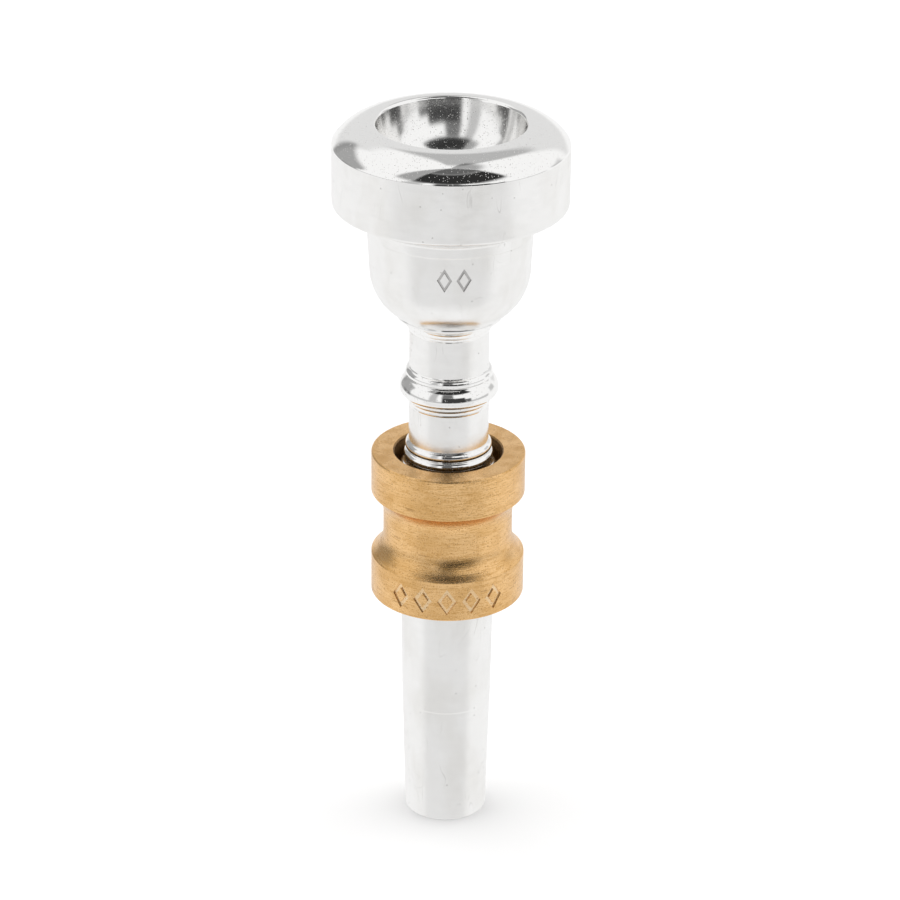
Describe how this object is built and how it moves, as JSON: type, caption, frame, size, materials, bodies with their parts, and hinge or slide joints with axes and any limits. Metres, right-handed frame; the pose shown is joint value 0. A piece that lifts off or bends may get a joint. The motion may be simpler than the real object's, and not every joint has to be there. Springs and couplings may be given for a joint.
{
  "type": "trumpet mouthpiece with booster sleeve",
  "caption": "Turned cup mouthpiece on a tapered shank, with a spool-shaped weight sleeve that slides and turns on the shank below the ringed neck.",
  "frame": {"origin": "centre of the shank's end face, at the bottom, which the part stands on", "axes": "+Z along the turning axis from the shank's end to the cup; the engraved marks face -Y; +X to their right"},
  "size_m": [0.027, 0.027, 0.0878],
  "materials": {
    "silver_plate": "silver plated brass, polished rim, cup and rings, satin elsewhere",
    "raw_brass": "turned raw brass, satin",
    "o_ring_rubber": "matt"
  },
  "bodies": {
    "mouthpiece": {"mouthpiece": "silver_plate"},
    "o_rings": {"upper_o_ring": "o_ring_rubber", "lower_o_ring": "o_ring_rubber"},
    "booster": {"booster_sleeve": "raw_brass"}
  },
  "joints": [
    {"name": "booster_slide", "type": "slide", "parent": "mouthpiece", "child": "o_rings", "axis": [0, 0, 1], "range_m": [-0.029, 0]},
    {"name": "booster_spin", "type": "hinge", "parent": "o_rings", "child": "booster", "pos_m": [0, 0, 0.0383], "axis": [0, 0, 1], "continuous": true}
  ]
}
